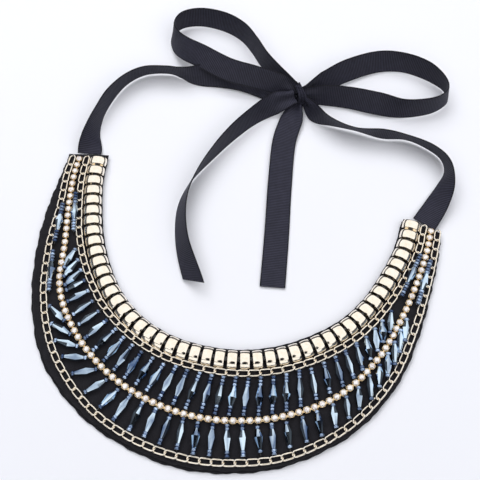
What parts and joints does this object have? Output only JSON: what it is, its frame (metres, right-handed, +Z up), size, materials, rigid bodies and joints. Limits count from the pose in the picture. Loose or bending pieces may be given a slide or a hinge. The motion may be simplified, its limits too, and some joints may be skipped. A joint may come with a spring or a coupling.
{
  "type": "bib necklace",
  "caption": "Bib necklace: a felt crescent with rows of gilt tubes, chain, cup stones and faceted beads, closed by a ribbon tied in a bow.",
  "frame": {"origin": "on the surface the necklace lies on, under the middle of its whole outline, bow included", "axes": "+Z up out of the surface, +Y from the bib towards the bow, +X to the right seen from above with the bow away"},
  "size_m": [0.1914, 0.2386, 0.0172],
  "materials": {
    "felt": "matte black felt",
    "ribbon": "charcoal grosgrain, cross ribs and a narrow selvage",
    "gilt_metal": "pale gold plate, polished",
    "cut_stone": "clear foiled cut stones in pale gold cups",
    "steel_bead": "opaque steel-blue metallic coated glass"
  },
  "bodies": {
    "root": {"felt_front": "felt", "felt_backing": "felt", "tube_run_left": "gilt_metal", "tube_run_centre": "gilt_metal", "tube_run_right": "gilt_metal", "chain_inner": "gilt_metal", "chain_outer": "gilt_metal", "stone_chain": "cut_stone", "bead_row_inner_left": "steel_bead", "bead_row_inner_centre": "steel_bead", "bead_row_inner_right": "steel_bead", "bead_row_outer_left": "steel_bead", "bead_row_outer_centre": "steel_bead", "bead_row_outer_right": "steel_bead", "ribbon_left_tie": "ribbon", "ribbon_right_tie": "ribbon", "bow_loop_left": "ribbon", "bow_loop_right": "ribbon", "ribbon_left_tail": "ribbon", "ribbon_right_tail": "ribbon", "bow_knot": "ribbon"}
  },
  "joints": []
}
